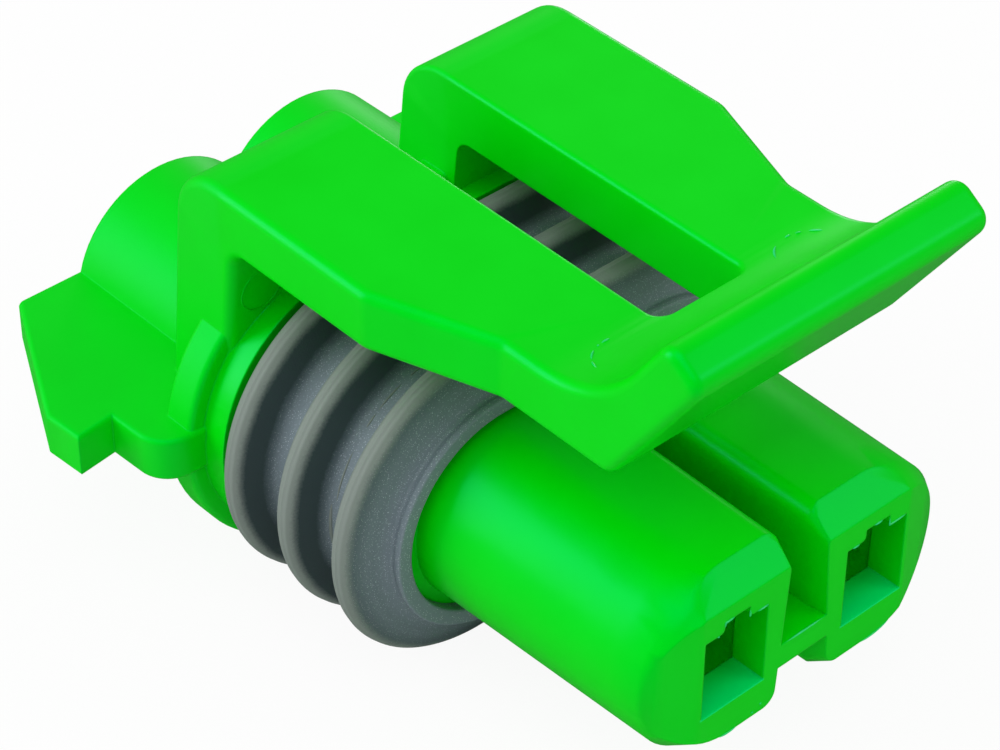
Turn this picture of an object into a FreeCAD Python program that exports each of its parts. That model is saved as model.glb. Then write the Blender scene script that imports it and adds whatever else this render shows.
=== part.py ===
import FreeCAD, Part
import math
import os
from FreeCAD import Vector

# Sealed two-way automotive connector, socket side, with its ring seal, cable seals and contacts.
# Frame: Y runs from the mating face (y = 0) back to the cable end, X is across the two ways,
# Z is up towards the latch. The origin is on the axis between the two ways. Millimetres.

# Ways and front towers
BORE_WALL = 0.3            # between the two cable bores, where it is thinnest
TOWER_RADIUS = 3.8         # at the mating face
TOWER_DRAFT = 0.023        # growth of the radius for each mm towards the seal
TOWER_LENGTH = 11.6        # mating face to the seal's seat
LEAD_IN_DEPTH = 0.9        # slope round the mating face, along Y
LEAD_IN_RISE = 0.58        # the same slope, measured across
LEAD_IN_FLAT_RISE = 0.15   # and on the flat sides that face each other
SIDE_SLOPE_START = 1.65    # flatter slope over the outer side, starts this far from the way's axis
SIDE_SLOPE_DEPTH = 0.75    # and ends this deep at the tower's side
TOP_SLOPE_DEPTH = 1.0      # flat slope over the top of the mating face
TOP_SLOPE_RISE = 1.0
TOWER_INNER_ROUND = 0.6    # long edges of the flat sides
TOWER_GAP = 1.9            # slit between the two towers, at half their height
GAP_LEAN = 0.066           # each of its sides leans outwards by this for each mm down
GAP_DEPTH = 11.0
WEB_TOP = -0.67            # bridge across the slit
WEB_THICKNESS = 1.04

# Window in each tower's front wall
WINDOW_WIDTH = 3.0
WINDOW_HEIGHT = 3.5
FRONT_WALL = 1.5
KEYWAY_WIDTH = 1.2         # notch in the middle of the window's upper edge
KEYWAY_DEPTH = 0.45
KEYWAY_ROUND = 0.2

# Space for the contact behind the window
CAVITY_WIDTH = 3.5
CAVITY_HEIGHT = 4.1
CAVITY_ROUND = 0.4
CAVITY_CLEARANCE = 1.8     # behind the contact

# Seat of the ring seal, shoulder and flange
SEAT_HALF_FLAT = 3.85
SEAT_STEP = 0.1832         # the seat stands out from the towers' rear end by this
SHOULDER_CLEARANCE = 0.06  # behind the foot of the seal's last rib
SHOULDER_LENGTH = 1.15
SHOULDER_RADIUS = 5.95
FLANGE_THICKNESS = 1.45
FLANGE_RADIUS = 6.6
FLANGE_ROUND = 0.25

# Ring seal
SEAL_LIP_FRONT = 11.1
SEAL_LIP_RADIUS = 4.9
SEAL_LIP_LENGTH = 0.55
SEAL_GROOVE_RADIUS = 5.15
SEAL_CREST_RADIUS = 6.6
SEAL_RIB_PITCH = 2.96
SEAL_RIB_COUNT = 3
SEAL_COLLAR = 1.45         # front edge to the first crest
SEAL_CREST_ROUND = 0.42
SEAL_FLANK_RUN = 0.55      # how far a rib's foot reaches beyond its crest

# Cable tubes
TUBE_RADIUS = 4.2
TUBE_END = 31.0
TUBE_BORE_RADIUS = 3.3
TUBE_BORE_FRONT = 21.6
TUBE_MOUTH_CHAMFER = 0.3

# Cable seals
CABLE_SEAL_RECESS = 0.7    # below the tube's mouth
CABLE_SEAL_CLEARANCE = 1.1  # in front, up to the cone of the bore
CABLE_SEAL_CORE = 2.75
CABLE_SEAL_RIBS = 3
CABLE_SEAL_RIB_ROUND = 0.35
CABLE_SEAL_FLANK_RUN = 0.2
CABLE_HOLE_RADIUS = 1.0

# Side wings
WING_TOP = 1.13
WING_THICKNESS = 1.85
WING_REAR_X = 10.4
WING_SHOULDER_X = 13.6
WING_SHOULDER_Y = 24.9
WING_TIP_X = 13.5
WING_TIP_Y = 23.1
WING_NOTCH_X = 11.85
WING_NOTCH_Y = 23.3
WING_TAB_X = 11.8
WING_TAB_RADIUS = 1.35
WING_FRONT = 20.5
WING_EDGE_ROUND = 0.2

# Latch
SLOT_HALF_WIDTH = 2.05
SLOT_FRONT = 5.5
SLOT_ROUND = 0.6
ARM_TOP = 10.98            # at the rear
ARM_FALL = 0.018           # drop of the top for each mm towards the front
ARM_THICKNESS = 2.45
ARM_REAR_HALF = 8.55
ARM_FRONT_HALF = 6.82
ARM_TAPER_REAR = 13.0
ARM_TAPER_FRONT = 8.1
ARM_PLAN_ROUND = 1.0       # where the taper starts and ends
ARM_EDGE_ROUND = 0.4
SLOT_EDGE_ROUND = 0.2
LEG_SETBACK = 0.28         # behind the shoulder's front, at the height of the arms' top
LEG_THICKNESS = 3.22       # along Y
LEG_LEAN = 0.105           # rearwards for each mm down
LEG_TOP_ROUND = 2.2
LEG_INNER_ROUND = 0.7
LEG_FOOT = 1.0             # height at which the legs end, inside the tubes and the flange

# Thumb lip: the front of the latch sweeps up and leans out over the mating face
LIP_SWEEP_START = 6.45
LIP_SWEEP_RADIUS = 5.0
LIP_LEAN = 55.5            # degrees from the arms' top
LIP_REACH = 2.6            # straight part beyond the sweep
LIP_THICKNESS = 2.0
LIP_TIP_ROUND = 0.65
LIP_HEEL_ROUND = 0.8

# Contacts
CONTACT_FRONT = 3.4
CONTACT_BOX_WIDTH = 2.6
CONTACT_BOX_HEIGHT = 2.5
CONTACT_BOX_LENGTH = 7.0
CONTACT_SHEET = 0.3
CONTACT_STRIP_WIDTH = 1.3
CONTACT_NECK_LENGTH = 1.6
CONTACT_BARREL_LENGTH = 2.8
CONTACT_BARREL_GAP = 0.8
CONTACT_BARREL_WIDTH = 2.3
CONTACT_BARREL_HEIGHT = 2.2

EPS = 0.5                  # how far cutters run past what they cut
TOUCH = 1e-4               # places closer than this count as one

# Places that follow from the sizes above
WAY_PITCH = 2 * TUBE_BORE_RADIUS + BORE_WALL
WAYS = {"left": -WAY_PITCH / 2, "right": WAY_PITCH / 2}
SEAT_RADIUS = TOWER_RADIUS + TOWER_DRAFT * TOWER_LENGTH + SEAT_STEP
SEAL_FIRST_RIB = SEAL_LIP_FRONT + SEAL_COLLAR
SEAL_LAST_RIB = SEAL_FIRST_RIB + (SEAL_RIB_COUNT - 1) * SEAL_RIB_PITCH
SHOULDER_FRONT = SEAL_LAST_RIB + SEAL_CREST_ROUND + SEAL_FLANK_RUN + SHOULDER_CLEARANCE
FLANGE_FRONT = SHOULDER_FRONT + SHOULDER_LENGTH
LEG_FRONT = SHOULDER_FRONT + LEG_SETBACK
CONTACT_BARRELS = CONTACT_FRONT + CONTACT_BOX_LENGTH + CONTACT_NECK_LENGTH
CONTACT_END = CONTACT_BARRELS + 2 * CONTACT_BARREL_LENGTH + CONTACT_BARREL_GAP
CAVITY_END = CONTACT_END + CAVITY_CLEARANCE


def box(x0, x1, y0, y1, z0, z1):
    return Part.makeBox(x1 - x0, y1 - y0, z1 - z0, Vector(x0, y0, z0))


def rod(radius, y0, y1, x=0.0, z=0.0):
    return Part.makeCylinder(radius, y1 - y0, Vector(x, y0, z), Vector(0, 1, 0))


def face_of(points):
    return Part.Face(Part.makePolygon(points + points[:1]))


def obround_wire(half_flat, radius, y):
    """Closed outline with flat top and bottom and half-round ends, in the plane at y."""
    left, right = Vector(-half_flat, y, 0), Vector(half_flat, y, 0)
    up, out = Vector(0, 0, radius), Vector(radius, 0, 0)
    edges = [
        Part.makeLine(left + up, right + up),
        Part.Arc(right + up, right + out, right - up).toShape(),
        Part.makeLine(right - up, left - up),
        Part.Arc(left - up, left - out, left + up).toShape(),
    ]
    return Part.Wire(edges)


def obround(half_flat, radius, y0, y1):
    return Part.Face(obround_wire(half_flat, radius, y0)).extrude(Vector(0, y1 - y0, 0))


def edges_where(shape, test):
    """Edges whose both ends and middle pass the test."""
    picked = []
    for edge in shape.Edges:
        first, last = edge.ParameterRange
        points = [edge.valueAt(first), edge.valueAt((first + last) / 2), edge.valueAt(last)]
        if all(test(p) for p in points):
            picked.append(edge)
    return picked


def near(a, b):
    return abs(a - b) < TOUCH


def tower_radius(y):
    return TOWER_RADIUS + TOWER_DRAFT * y


def gap_side(z):
    return TOWER_GAP / 2 - GAP_LEAN * z


def bend(corner, first, second, radius):
    """Start, middle and end of the arc that rounds a corner with sides along two unit directions."""
    half = first.getAngle(second) / 2
    reach = radius / math.tan(half)
    inward = (first + second).normalize()
    middle = corner + inward * (radius / math.sin(half) - radius)
    return corner + first * reach, middle, corner + second * reach


def tower_wire(side, y, inset=0.0, flat_inset=0.0):
    """D-shaped section of one tower, its leaning flat towards the other one, corners rounded."""
    radius = tower_radius(y) - inset
    centre = Vector(side * WAY_PITCH / 2, y, 0)
    up, out = Vector(0, 0, radius), Vector(side * radius, 0, 0)
    low_corner = Vector(side * (gap_side(-radius) + flat_inset), y, -radius)
    high_corner = Vector(side * (gap_side(radius) + flat_inset), y, radius)
    upward = Vector(-side * GAP_LEAN, 0, 1).normalize()
    outward = Vector(side, 0, 0)
    lower = bend(low_corner, outward, upward, TOWER_INNER_ROUND)
    upper = bend(high_corner, upward * -1, outward, TOWER_INNER_ROUND)
    edges = [
        Part.makeLine(lower[2], upper[0]),
        Part.Arc(*upper).toShape(),
        Part.makeLine(upper[2], centre + up),
        Part.Arc(centre + up, centre + out, centre - up).toShape(),
        Part.makeLine(centre - up, lower[0]),
        Part.Arc(*lower).toShape(),
    ]
    return Part.Wire(edges)


def tower(side):
    """One tower with the slopes round its mating face."""
    front = tower_wire(side, 0, LEAD_IN_RISE, LEAD_IN_FLAT_RISE)
    lead_in = Part.makeLoft([front, tower_wire(side, LEAD_IN_DEPTH)], True, True)
    trunk = Part.makeLoft([tower_wire(side, LEAD_IN_DEPTH), tower_wire(side, TOWER_LENGTH)], True, True)
    return lead_in.fuse(trunk).cut([top_slope(side), side_slope(side)])


def top_slope(side):
    """Wedge that takes the flat slope off the top of one tower's mating face."""
    top = tower_radius(TOP_SLOPE_DEPTH)
    steep = TOP_SLOPE_RISE / TOP_SLOPE_DEPTH
    low_y, high_y = -EPS, TOP_SLOPE_DEPTH + EPS
    corners = [
        Vector(0, low_y, top - TOP_SLOPE_RISE + steep * low_y), Vector(0, high_y, top + steep * EPS),
        Vector(0, low_y, top + steep * EPS),
    ]
    return face_of(corners).extrude(Vector(side * (WAY_PITCH / 2 + TOWER_RADIUS + EPS), 0, 0))


def side_slope(side):
    """Wedge that takes the flatter slope off the outer side of one tower's mating face."""
    start = WAY_PITCH / 2 + SIDE_SLOPE_START
    end = WAY_PITCH / 2 + tower_radius(SIDE_SLOPE_DEPTH)
    steep = SIDE_SLOPE_DEPTH / (end - start)
    low = -TOWER_RADIUS - EPS
    corners = [
        Vector(side * (start - EPS), -steep * EPS, low),
        Vector(side * (end + EPS), SIDE_SLOPE_DEPTH + steep * EPS, low),
        Vector(side * (end + EPS), -steep * EPS, low),
    ]
    return face_of(corners).extrude(Vector(0, 0, -2 * low))


def front_towers():
    """Both towers with the slit, the bridge across it and the front walls' windows."""
    pair = tower(-1).fuse(tower(1))
    web = box(-TOWER_GAP / 2 - EPS, TOWER_GAP / 2 + EPS, 0, GAP_DEPTH + EPS,
              WEB_TOP - WEB_THICKNESS, WEB_TOP)
    root_radius = tower_radius(GAP_DEPTH)
    root = obround(WAY_PITCH / 2, root_radius, GAP_DEPTH, TOWER_LENGTH + EPS)
    return pair.fuse([web, root])


def window(x):
    """Opening in the front wall, with a keyway in the middle of its upper edge."""
    half_w, half_h, half_key = WINDOW_WIDTH / 2, WINDOW_HEIGHT / 2, KEYWAY_WIDTH / 2
    opening = box(x - half_w, x + half_w, -EPS, FRONT_WALL + EPS, -half_h, half_h)
    keyway = box(x - half_key, x + half_key, -EPS, FRONT_WALL + EPS, 0, half_h + KEYWAY_DEPTH)
    opening = opening.fuse(keyway).removeSplitter()
    lips = edges_where(opening, lambda p: near(abs(p.x - x), half_key) and near(p.z, half_h))
    return opening.makeFillet(KEYWAY_ROUND, lips)


def contact_cavity(x):
    room = box(x - CAVITY_WIDTH / 2, x + CAVITY_WIDTH / 2, FRONT_WALL, CAVITY_END,
               -CAVITY_HEIGHT / 2, CAVITY_HEIGHT / 2)
    long_edges = edges_where(room, lambda p: near(abs(p.x - x), CAVITY_WIDTH / 2)
                             and near(abs(p.z), CAVITY_HEIGHT / 2))
    return room.makeFillet(CAVITY_ROUND, long_edges)


def wire_passage(x):
    """Bore for the cable seal, with a cone down to the contact's cavity."""
    narrow = min(CAVITY_WIDTH, CAVITY_HEIGHT) / 2 - CAVITY_ROUND / 2
    cone = Part.makeCone(narrow, TUBE_BORE_RADIUS, TUBE_BORE_FRONT - CAVITY_END + EPS,
                         Vector(x, CAVITY_END - EPS, 0), Vector(0, 1, 0))
    bore = rod(TUBE_BORE_RADIUS, TUBE_BORE_FRONT, TUBE_END + EPS, x)
    mouth = Part.makeCone(TUBE_BORE_RADIUS, TUBE_BORE_RADIUS + TUBE_MOUTH_CHAMFER + EPS,
                          TUBE_MOUTH_CHAMFER + EPS,
                          Vector(x, TUBE_END - TUBE_MOUTH_CHAMFER, 0), Vector(0, 1, 0))
    return [cone, bore, mouth]


def seal_seat_and_flange():
    seat = obround(SEAT_HALF_FLAT, SEAT_RADIUS, TOWER_LENGTH, SHOULDER_FRONT + EPS)
    shoulder = obround(SEAT_HALF_FLAT, SHOULDER_RADIUS, SHOULDER_FRONT, FLANGE_FRONT + EPS)
    flange = obround(SEAT_HALF_FLAT, FLANGE_RADIUS, FLANGE_FRONT, FLANGE_FRONT + FLANGE_THICKNESS)
    flange = flange.makeFillet(FLANGE_ROUND, [e for e in flange.Edges
                                              if near(e.BoundBox.YLength, 0)])
    return [seat, shoulder, flange]


def cable_tubes():
    start = FLANGE_FRONT + FLANGE_THICKNESS / 2
    return [rod(TUBE_RADIUS, start, TUBE_END, x) for x in WAYS.values()]


def wing(side):
    """Barbed side plate. Its front tab runs into the flange."""
    inner = WAY_PITCH / 2 + (TUBE_RADIUS + TUBE_BORE_RADIUS) / 2
    tab_y = WING_FRONT + WING_TAB_RADIUS
    flat = [
        (inner, TUBE_END), (WING_REAR_X, TUBE_END), (WING_SHOULDER_X, WING_SHOULDER_Y),
        (WING_TIP_X, WING_TIP_Y), (WING_NOTCH_X, WING_NOTCH_Y), (WING_TAB_X, tab_y),
    ]
    low = WING_TOP - WING_THICKNESS
    points = [Vector(side * x, y, low) for x, y in flat]
    tab_centre = Vector(side * (WING_TAB_X - WING_TAB_RADIUS), tab_y, low)
    turn = WING_TAB_RADIUS / math.sqrt(2)
    tab_mid = tab_centre + Vector(side * turn, -turn, 0)
    tab_end = tab_centre - Vector(0, WING_TAB_RADIUS, 0)
    inner_front = Vector(side * inner, WING_FRONT, low)
    edges = [Part.makeLine(a, b) for a, b in zip(points, points[1:])]
    edges.append(Part.Arc(points[-1], tab_mid, tab_end).toShape())
    edges.append(Part.makeLine(tab_end, inner_front))
    edges.append(Part.makeLine(inner_front, points[0]))
    plate = Part.Face(Part.Wire(edges)).extrude(Vector(0, 0, WING_THICKNESS))
    outer = [e for e in plate.Edges if near(e.BoundBox.ZLength, 0)
             and all(abs(v.X) > inner + EPS for v in e.Vertexes)]
    return plate.makeFillet(WING_EDGE_ROUND, outer)


def leg_front(z):
    return LEG_FRONT + LEG_LEAN * (ARM_TOP - z)


def leg_rear(z):
    return leg_front(z) + LEG_THICKNESS


def arm_top(y):
    return ARM_TOP - ARM_FALL * (leg_rear(ARM_TOP) - y)


def side_point(y, z):
    return Vector(0, y, z)


def lip_outline():
    """Points of the sweep and the lip: sweep start, middle and end, rear and front corner, heel."""
    fall = math.atan(ARM_FALL)
    lean = math.radians(LIP_LEAN)

    def on_sweep(angle):
        y = LIP_SWEEP_START - LIP_SWEEP_RADIUS * (math.sin(angle) + math.sin(fall))
        z = arm_top(LIP_SWEEP_START) + LIP_SWEEP_RADIUS * (math.cos(fall) - math.cos(angle))
        return side_point(y, z)

    along = side_point(-math.cos(lean), math.sin(lean))
    across = side_point(-math.sin(lean), -math.cos(lean))
    start, middle, end = on_sweep(-fall), on_sweep((lean - fall) / 2), on_sweep(lean)
    rear_corner = end + along * LIP_REACH
    front_corner = rear_corner + across * LIP_THICKNESS
    under = arm_top(0) - ARM_THICKNESS
    steep = math.tan(lean)
    heel_y = (front_corner.z + steep * front_corner.y - under) / (steep + ARM_FALL)
    heel = side_point(heel_y, arm_top(heel_y) - ARM_THICKNESS)
    return start, middle, end, rear_corner, front_corner, heel


def latch_blank():
    """Legs, arms and lip as one curved slab across the whole width, its long edges rounded."""
    start, middle, end, rear_corner, front_corner, heel = lip_outline()
    throat_y = leg_front(ARM_TOP - ARM_THICKNESS)
    throat = side_point(throat_y, arm_top(throat_y) - ARM_THICKNESS)
    top_rear = side_point(leg_rear(ARM_TOP), ARM_TOP)
    corners = [end, rear_corner, front_corner, heel, throat, side_point(leg_front(LEG_FOOT), LEG_FOOT),
               side_point(leg_rear(LEG_FOOT), LEG_FOOT), top_rear, start]
    edges = [Part.makeLine(a, b) for a, b in zip(corners, corners[1:])]
    edges.append(Part.Arc(start, middle, end).toShape())
    slab = Part.Face(Part.Wire(edges)).extrude(Vector(2 * ARM_REAR_HALF, 0, 0))
    slab.translate(Vector(-ARM_REAR_HALF, 0, 0))
    rounds = [(LIP_TIP_ROUND, [rear_corner, front_corner]), (LIP_HEEL_ROUND, [heel]),
              (LEG_INNER_ROUND, [throat]), (LEG_TOP_ROUND, [top_rear])]
    for radius, places in rounds:
        across = [e for e in slab.Edges for p in places
                  if all(near(v.Y, p.y) and near(v.Z, p.z) for v in e.Vertexes)]
        slab = slab.makeFillet(radius, across)
    return slab


def latch_plan():
    """Outline of the latch seen from above, narrower at the front."""
    rear = leg_rear(LEG_FOOT)
    front = lip_outline()[4].y
    half = [
        (ARM_FRONT_HALF, front - EPS), (ARM_FRONT_HALF, ARM_TAPER_FRONT),
        (ARM_REAR_HALF, ARM_TAPER_REAR), (ARM_REAR_HALF, rear + EPS),
    ]
    right = [Vector(x, y, 0) for x, y in half]
    left = [Vector(-p.x, p.y, 0) for p in reversed(right)]
    outline = face_of(right + left).extrude(Vector(0, 0, lip_outline()[3].z + EPS))
    bends = [e for e in outline.Edges
             if all(near(v.Y, ARM_TAPER_FRONT) or near(v.Y, ARM_TAPER_REAR) for v in e.Vertexes)
             and e.BoundBox.ZLength > EPS]
    return outline.makeFillet(ARM_PLAN_ROUND, bends)


def latch():
    """Two legs and two arms joined by the lip across their front."""
    body = latch_blank().common(latch_plan())
    outer = []
    for edge in body.Edges:
        bounds = edge.BoundBox
        on_side = min(abs(bounds.XMin), abs(bounds.XMax)) > ARM_FRONT_HALF - EPS
        along_x = bounds.XLength > ARM_REAR_HALF
        seam = near(bounds.YLength, 0) and bounds.YMax < LEG_FRONT - EPS
        foot = bounds.ZMax < LEG_FOOT + TOUCH
        if on_side and not along_x and not seam and not foot:
            outer.append(edge)
    body = body.makeFillet(ARM_EDGE_ROUND, outer)
    slot = box(-SLOT_HALF_WIDTH, SLOT_HALF_WIDTH, SLOT_FRONT, leg_rear(LEG_FOOT) + EPS, 0, ARM_TOP + EPS)
    corners = edges_where(slot, lambda p: near(p.y, SLOT_FRONT) and near(abs(p.x), SLOT_HALF_WIDTH))
    body = body.cut(slot.makeFillet(SLOT_ROUND, corners))
    rims = [e for e in edges_where(body, lambda p: near(abs(p.x), SLOT_HALF_WIDTH))
            if e.BoundBox.ZMax > ARM_TOP - EPS and e.BoundBox.YLength > TOUCH]
    return body.makeFillet(SLOT_EDGE_ROUND, rims)


def housing():
    body = front_towers().fuse(seal_seat_and_flange() + cable_tubes())
    body = body.fuse([wing(-1), wing(1), latch()])
    cutters = []
    for x in WAYS.values():
        cutters += [window(x), contact_cavity(x)] + wire_passage(x)
    return body.cut(cutters).removeSplitter()


def ribbed_profile(bore, front, rear, ribs, groove, lip=None):
    """Half section of a ribbed seal, radius along X, as a closed face in the plane z = 0.

    ribs holds the place and the radius of each crest, lip the radius and the length of a front collar.
    """
    points = [Vector(bore, front, 0)]
    edges = []

    def line_to(x, y):
        edges.append(Part.makeLine(points[-1], Vector(x, y, 0)))
        points.append(Vector(x, y, 0))

    if lip:
        line_to(lip[0], front)
        line_to(lip[0], front + lip[1])
    else:
        line_to(groove, front)
    for y, crest, crest_round, run in ribs:
        line_to(groove, y - crest_round - run)
        line_to(crest - crest_round, y - crest_round)
        down = Vector(crest - crest_round, y + crest_round, 0)
        edges.append(Part.Arc(points[-1], Vector(crest, y, 0), down).toShape())
        points.append(down)
        line_to(groove, y + crest_round + run)
    line_to(groove, rear)
    line_to(bore, rear)
    line_to(bore, front)
    return Part.Face(Part.Wire(edges))


def ring_seal_profile():
    ribs = []
    for k in range(SEAL_RIB_COUNT):
        ribs.append((SEAL_FIRST_RIB + k * SEAL_RIB_PITCH, SEAL_CREST_RADIUS, SEAL_CREST_ROUND,
                     SEAL_FLANK_RUN))
    return ribbed_profile(SEAT_RADIUS, SEAL_LIP_FRONT, SHOULDER_FRONT, ribs, SEAL_GROOVE_RADIUS,
                          (SEAL_LIP_RADIUS, SEAL_LIP_LENGTH))


def interface_seal():
    profile = ring_seal_profile()
    pieces = []
    for side in (-1, 1):
        end = profile.revolve(Vector(0, 0, 0), Vector(0, 1, 0), 180)
        end.rotate(Vector(0, 0, 0), Vector(0, 1, 0), -90 if side > 0 else 90)
        end.translate(Vector(side * SEAT_HALF_FLAT, 0, 0))
        pieces.append(end)
    for angle in (90, -90):
        flat = profile.copy()
        flat.rotate(Vector(0, 0, 0), Vector(0, 1, 0), angle)
        flat = flat.extrude(Vector(2 * SEAT_HALF_FLAT, 0, 0))
        flat.translate(Vector(-SEAT_HALF_FLAT, 0, 0))
        pieces.append(flat)
    return pieces[0].fuse(pieces[1:]).removeSplitter()


def cable_seal(x):
    rear = TUBE_END - CABLE_SEAL_RECESS
    front = TUBE_BORE_FRONT + CABLE_SEAL_CLEARANCE
    pitch = (rear - front) / CABLE_SEAL_RIBS
    ribs = [(front + pitch / 2 + k * pitch, TUBE_BORE_RADIUS, CABLE_SEAL_RIB_ROUND,
             CABLE_SEAL_FLANK_RUN) for k in range(CABLE_SEAL_RIBS)]
    profile = ribbed_profile(CABLE_HOLE_RADIUS, front, rear, ribs, CABLE_SEAL_CORE)
    plug = profile.revolve(Vector(0, 0, 0), Vector(0, 1, 0), 360)
    plug.translate(Vector(x, 0, 0))
    return plug


def folded(x, width, height, start, length, roofed):
    """Sheet folded up from the cavity's floor, closed into a tube when it is roofed."""
    low, sheet = -CAVITY_HEIGHT / 2, CONTACT_SHEET
    end = start + length
    inner_top = low + height - sheet if roofed else low + height + EPS
    outside = box(x - width / 2, x + width / 2, start, end, low, low + height)
    inside = box(x - width / 2 + sheet, x + width / 2 - sheet, start - EPS, end + EPS,
                 low + sheet, inner_top)
    return outside.cut(inside)


def contact(x):
    """Socket contact: a folded tube for the blade and two open crimp barrels on one strip."""
    low = -CAVITY_HEIGHT / 2
    box_end = CONTACT_FRONT + CONTACT_BOX_LENGTH
    first = CONTACT_BARRELS
    second = CONTACT_END - CONTACT_BARREL_LENGTH
    strip = box(x - CONTACT_STRIP_WIDTH / 2, x + CONTACT_STRIP_WIDTH / 2, box_end - EPS, second + EPS,
                low, low + CONTACT_SHEET)
    pieces = [folded(x, CONTACT_BOX_WIDTH, CONTACT_BOX_HEIGHT, CONTACT_FRONT, CONTACT_BOX_LENGTH, True)]
    for start in (first, second):
        pieces.append(folded(x, CONTACT_BARREL_WIDTH, CONTACT_BARREL_HEIGHT, start,
                             CONTACT_BARREL_LENGTH, False))
    return strip.fuse(pieces).removeSplitter()


def write(name, shape):
    assert shape.isValid() and len(shape.Solids) == 1, name
    solid = shape.Solids[0]
    print(name, round(solid.Volume, 1), "mm3")
    solid.exportStep("parts/" + name + ".step")


os.makedirs("parts", exist_ok=True)
write("housing", housing())
write("interface_seal", interface_seal())
for way, x in WAYS.items():
    write("cable_seal_" + way, cable_seal(x))
    write("contact_" + way, contact(x))
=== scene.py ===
"""Looks of a sealed two-way wire connector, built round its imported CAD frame."""

import math

import bmesh
import bpy
from bpy.props import FloatProperty, FloatVectorProperty, IntProperty, PointerProperty
from mathutils import Matrix, Vector
from mathutils.bvhtree import BVHTree


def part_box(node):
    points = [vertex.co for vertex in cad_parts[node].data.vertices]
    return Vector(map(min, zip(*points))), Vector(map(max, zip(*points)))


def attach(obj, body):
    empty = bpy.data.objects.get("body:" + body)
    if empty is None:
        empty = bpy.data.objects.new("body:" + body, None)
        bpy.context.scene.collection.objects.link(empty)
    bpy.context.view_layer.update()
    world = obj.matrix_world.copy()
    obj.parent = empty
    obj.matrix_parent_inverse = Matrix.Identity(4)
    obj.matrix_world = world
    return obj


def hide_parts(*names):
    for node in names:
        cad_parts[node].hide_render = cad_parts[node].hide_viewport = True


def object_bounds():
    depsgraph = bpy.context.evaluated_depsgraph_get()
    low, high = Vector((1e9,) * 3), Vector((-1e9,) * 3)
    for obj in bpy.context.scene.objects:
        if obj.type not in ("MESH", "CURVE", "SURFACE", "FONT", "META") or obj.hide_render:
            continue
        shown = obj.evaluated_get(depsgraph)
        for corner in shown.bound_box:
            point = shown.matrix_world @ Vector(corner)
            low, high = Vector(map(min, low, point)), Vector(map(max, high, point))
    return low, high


bl_info = {
    "name": "Sealed connector",
    "version": (1, 0, 0),
    "blender": (4, 5, 0),
    "location": "View3D > Sidebar > Connector",
    "description": "Housing, seals, contacts and studio of a sealed two-way wire connector",
    "category": "Object",
}

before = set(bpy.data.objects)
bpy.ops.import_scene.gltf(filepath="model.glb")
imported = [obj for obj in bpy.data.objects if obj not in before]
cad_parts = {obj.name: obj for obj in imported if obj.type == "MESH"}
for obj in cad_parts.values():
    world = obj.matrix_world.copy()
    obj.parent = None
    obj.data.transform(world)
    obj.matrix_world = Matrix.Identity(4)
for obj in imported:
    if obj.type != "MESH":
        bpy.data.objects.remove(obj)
CAD_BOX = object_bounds()
BODY = "root"
MM = 0.001
WAYS = ("left", "right")
SEAL_LOW, SEAL_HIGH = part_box("interface_seal")
PLUG_LOW, PLUG_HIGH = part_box("cable_seal_left")
FLOOR_LEVEL = CAD_BOX[0].z
FLOOR_HALF = 0.6
PHOTO_SIZE = (1000, 750)
# Attribute of the rubber's meshes: 0 in the grooves, 1 on the ribs' crests. Raised lines have more,
# so that they take the crests' colour, partly wear and partly a painted sheen, in full.
RISE = "rise"
LINE_RISE = 1.1
# Between these values of it the flanks' painted shade sets in, and then the crests' colour, which
# is partly wear and partly a painted sheen. The grain shifts them by up to this much.
FLANK_SHADE_RISE = (0.10, 0.42)
CREST_WEAR_AND_SHEEN_RISE = (0.84, 1.04)
RISE_SHIFT = 0.12
# Distances from a speck's centre between which it fades out, as shares of its size.
SPECK_FADE = (0.12, 0.34)
# Most values of a noise texture lie between these.
NOISE_RANGE = (0.3, 0.7)
# A corner this near to straight, in radians, isn't rounded. An arc takes up to this share of the
# lines beside it.
STRAIGHT = 0.01
ARC_SHARE = 0.49
# A rib's crest, in shares of its rounding: how far its shoulders lie below it, their rounding, and
# the half width and rounding of its top.
SHOULDER_DROP = 0.45
SHOULDER_ROUND = 0.8
TOP_HALF = 0.5
# Vertices nearer to each other than this are one.
SAME_PLACE = 0.0005 * MM
# Arcs in degrees, counted from +X towards +Z, or towards +Y on the lip.
NOSE_FLASH_ARC = (-100, -62)
LIP_MARK_ARC = (30, 175)
SEAM_ARC = (98, 168)
BARS_ARC = (168, 194)
WHITE = (1.0, 1.0, 1.0, 1.0)
# Each softbox's place, width and height, in metres.
BACK_BOX = ((-0.25, 0.23, 0.14), 0.14, 0.26)
FAR_BOX = ((0.27, 0.24, 0.04), 0.08, 0.10)
FRONT_BOX = ((0.19, -0.21, 0.20), 0.15, 0.15)
FILL_BOX = ((-0.13, -0.05, 0.33), 0.30, 0.30)


# Settings

def length(name, description, default):
    return FloatProperty(name=name, description=description, default=default, unit="LENGTH",
                         precision=6, min=0.0)


def colour(name, description, default):
    return FloatVectorProperty(name=name, description=description, default=default,
                               subtype="COLOR", size=3, min=0.0, max=1.0)


def factor(name, description, default):
    return FloatProperty(name=name, description=description, default=default, subtype="FACTOR",
                         min=0.0, max=1.0)


def number(name, description, default):
    return FloatProperty(name=name, description=description, default=default, min=0.0)


def angle(name, description, degrees):
    return FloatProperty(name=name, description=description, default=math.radians(degrees),
                         subtype="ANGLE")


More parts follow.
